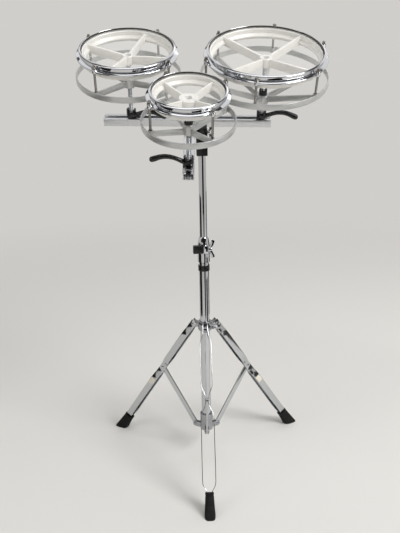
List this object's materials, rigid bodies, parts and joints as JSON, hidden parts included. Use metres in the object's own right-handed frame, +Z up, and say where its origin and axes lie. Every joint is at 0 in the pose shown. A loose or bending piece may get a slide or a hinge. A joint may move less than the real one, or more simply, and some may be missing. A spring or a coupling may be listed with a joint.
{
  "type": "rototom set",
  "caption": "Shallow tunable drums on threaded shafts, clamped to slotted rails on a tilting, height-adjustable mast with a folding braced tripod.",
  "frame": {"origin": "on the floor, under the middle of the bounding box at rest", "axes": "+Z up; +X to the player's right; the player stands on the -Y side"},
  "size_m": [0.5724, 0.4904, 1.121],
  "materials": {
    "chrome": "bright plated",
    "zinc_plate": "satin plated",
    "cast_white": "painted casting",
    "cast_metal": "satin casting",
    "clear_film": "clear",
    "black_enamel": "satin",
    "black_nylon": "matt",
    "black_grip": "gloss",
    "black_rubber": "matt"
  },
  "bodies": {
    "tripod_tube": {"lower_tube": "chrome", "brace_hub": "chrome", "height_clamp": "chrome", "clamp_jaw": "black_enamel", "tube_band": "black_nylon"},
    "height_screw": {"height_wing_screw": "chrome"},
    "collar": {"leg_collar": "chrome"},
    "collar_screw": {"collar_wing_screw": "chrome"},
    "mast": {"upper_tube": "chrome"},
    "post": {"tilt_post": "black_enamel"},
    "tilt_screw": {"tilt_wing_screw": "chrome"},
    "tilt_head": {"tilt_knuckle": "black_enamel"},
    "rails": {"rail_saddle": "black_enamel", "cross_rail": "zinc_plate", "arm_rail": "zinc_plate", "arm_bolt": "zinc_plate"},
    "leg_front": {"leg_front": "chrome", "foot_front": "black_rubber"},
    "brace_front": {"brace_front": "chrome"},
    "leg_right": {"leg_right": "chrome", "foot_right": "black_rubber"},
    "brace_right": {"brace_right": "chrome"},
    "leg_left": {"leg_left": "chrome", "foot_left": "black_rubber"},
    "brace_left": {"brace_left": "chrome"},
    "clamp_left": {"shaft_left": "zinc_plate"},
    "handle_left": {"lever_left": "black_grip"},
    "drum_left": {"upper_frame_left": "cast_white", "drumhead_left": "clear_film"},
    "cage_left": {"lower_frame_left": "cast_metal", "thread_bush_left": "black_nylon", "counterhoop_left": "chrome", "rod_left_1": "chrome", "rod_left_2": "chrome", "rod_left_3": "chrome", "rod_left_4": "chrome"},
    "clamp_right": {"shaft_right": "zinc_plate"},
    "handle_right": {"lever_right": "black_grip"},
    "drum_right": {"upper_frame_right": "cast_white", "drumhead_right": "clear_film"},
    "cage_right": {"lower_frame_right": "cast_metal", "thread_bush_right": "black_nylon", "counterhoop_right": "chrome", "rod_right_1": "chrome", "rod_right_2": "chrome", "rod_right_3": "chrome", "rod_right_4": "chrome", "rod_right_5": "chrome", "rod_right_6": "chrome"},
    "clamp_front": {"shaft_front": "zinc_plate"},
    "handle_front": {"lever_front": "black_grip"},
    "drum_front": {"upper_frame_front": "cast_white", "drumhead_front": "clear_film"},
    "cage_front": {"lower_frame_front": "cast_metal", "thread_bush_front": "black_nylon", "counterhoop_front": "chrome", "rod_front_1": "chrome", "rod_front_2": "chrome", "rod_front_3": "chrome", "rod_front_4": "chrome"}
  },
  "joints": [
    {"name": "height_screw_turn", "type": "hinge", "parent": "tripod_tube", "child": "height_screw", "pos_m": [0.00965, 0.05292, 0.586], "axis": [1, 0, 0], "range_deg": [-360, 0]},
    {"name": "collar_slide", "type": "slide", "parent": "tripod_tube", "child": "collar", "axis": [0, 0, 1], "range_m": [0, 0.06173]},
    {"name": "collar_screw_turn", "type": "hinge", "parent": "collar", "child": "collar_screw", "pos_m": [-0.00065, 0.07292, 0.37406], "axis": [0.8425, -0.5388, 0], "range_deg": [-360, 0]},
    {"name": "leg_front_fold", "type": "hinge", "parent": "collar", "child": "leg_front", "pos_m": [-0.00215, 0.03995, 0.37406], "axis": [0.999, -0.0454, 0], "range_deg": [0, 30.1]},
    {"name": "brace_front_fold", "type": "hinge", "parent": "tripod_tube", "child": "brace_front", "pos_m": [-0.00215, 0.03995, 0.076], "axis": [-0.999, 0.0454, 0], "range_deg": [0, 30.1]},
    {"name": "leg_right_fold", "type": "hinge", "parent": "collar", "child": "leg_right", "pos_m": [0.02865, 0.08811, 0.37406], "axis": [-0.4602, 0.8878, 0], "range_deg": [0, 30.1]},
    {"name": "brace_right_fold", "type": "hinge", "parent": "tripod_tube", "child": "brace_right", "pos_m": [0.02865, 0.08811, 0.076], "axis": [0.4602, -0.8878, 0], "range_deg": [0, 30.1]},
    {"name": "leg_left_fold", "type": "hinge", "parent": "collar", "child": "leg_left", "pos_m": [-0.02845, 0.0907, 0.37406], "axis": [-0.5388, -0.8425, 0], "range_deg": [0, 30.1]},
    {"name": "brace_left_fold", "type": "hinge", "parent": "tripod_tube", "child": "brace_left", "pos_m": [-0.02845, 0.0907, 0.076], "axis": [0.5388, 0.8425, 0], "range_deg": [0, 30.1]},
    {"name": "mast_slide", "type": "slide", "parent": "tripod_tube", "child": "mast", "axis": [0, 0, 1], "range_m": [-0.2, 0.1]},
    {"name": "mast_turn", "type": "hinge", "parent": "mast", "child": "post", "pos_m": [-0.00065, 0.07292, 0.874], "axis": [0, 0, 1], "range_deg": [-180, 180]},
    {"name": "tilt_screw_turn", "type": "hinge", "parent": "post", "child": "tilt_screw", "pos_m": [-0.00065, 0.07292, 0.874], "axis": [1, 0, 0], "range_deg": [-360, 0]},
    {"name": "tilt", "type": "hinge", "parent": "post", "child": "tilt_head", "pos_m": [-0.00065, 0.07292, 0.874], "axis": [1, 0, 0], "range_deg": [-25.3, 24.7]},
    {"name": "rail_swivel", "type": "hinge", "parent": "tilt_head", "child": "rails", "pos_m": [-0.00065, 0.05561, 0.91061], "axis": [0, -0.4274, 0.9041], "range_deg": [-5, 5]},
    {"name": "clamp_left_slide", "type": "slide", "parent": "rails", "child": "clamp_left", "axis": [-0.998, 0.0576, 0.0272], "range_m": [0, 0.045]},
    {"name": "handle_left_turn", "type": "hinge", "parent": "clamp_left", "child": "handle_left", "pos_m": [-0.16681, 0.06519, 0.91514], "axis": [0, -0.4274, 0.9041], "range_deg": [0, 150]},
    {"name": "drum_left_spin", "type": "hinge", "parent": "clamp_left", "child": "drum_left", "pos_m": [-0.16681, 0.06519, 0.91514], "axis": [0, -0.4274, 0.9041], "range_deg": [-360, 0]},
    {"name": "cage_left_travel", "type": "slide", "parent": "drum_left", "child": "cage_left", "axis": [0, -0.4274, 0.9041], "range_m": [0, 0.00255]},
    {"name": "clamp_right_slide", "type": "slide", "parent": "rails", "child": "clamp_right", "axis": [0.998, -0.0576, -0.0272], "range_m": [0, 0.008]},
    {"name": "handle_right_turn", "type": "hinge", "parent": "clamp_right", "child": "handle_right", "pos_m": [0.14006, 0.0475, 0.90678], "axis": [0, -0.4274, 0.9041], "range_deg": [0, 150]},
    {"name": "drum_right_spin", "type": "hinge", "parent": "clamp_right", "child": "drum_right", "pos_m": [0.14006, 0.0475, 0.90678], "axis": [0, -0.4274, 0.9041], "range_deg": [-360, 0]},
    {"name": "cage_right_travel", "type": "slide", "parent": "drum_right", "child": "cage_right", "axis": [0, -0.4274, 0.9041], "range_m": [0, 0.00255]},
    {"name": "clamp_front_slide", "type": "slide", "parent": "rails", "child": "clamp_front", "axis": [-0.0637, -0.9022, -0.4265], "range_m": [0, 0.01]},
    {"name": "handle_front_turn", "type": "hinge", "parent": "clamp_front", "child": "handle_front", "pos_m": [-0.04044, -0.09154, 0.82081], "axis": [0, -0.4274, 0.9041], "range_deg": [0, 150]},
    {"name": "drum_front_spin", "type": "hinge", "parent": "clamp_front", "child": "drum_front", "pos_m": [-0.04044, -0.09154, 0.82081], "axis": [0, -0.4274, 0.9041], "range_deg": [-360, 0]},
    {"name": "cage_front_travel", "type": "slide", "parent": "drum_front", "child": "cage_front", "axis": [0, -0.4274, 0.9041], "range_m": [0, 0.00255]}
  ],
  "couplings": [
    {"joint": "leg_front_fold", "follows": "collar_slide", "rad_per_m": 8.4823},
    {"joint": "brace_front_fold", "follows": "collar_slide", "rad_per_m": 8.4823},
    {"joint": "leg_right_fold", "follows": "collar_slide", "rad_per_m": 8.4823},
    {"joint": "brace_right_fold", "follows": "collar_slide", "rad_per_m": 8.4823},
    {"joint": "leg_left_fold", "follows": "collar_slide", "rad_per_m": 8.4823},
    {"joint": "brace_left_fold", "follows": "collar_slide", "rad_per_m": 8.4823},
    {"joint": "cage_left_travel", "follows": "drum_left_spin", "m_per_rad": -0.00039789},
    {"joint": "cage_right_travel", "follows": "drum_right_spin", "m_per_rad": -0.00039789},
    {"joint": "cage_front_travel", "follows": "drum_front_spin", "m_per_rad": -0.00039789}
  ]
}
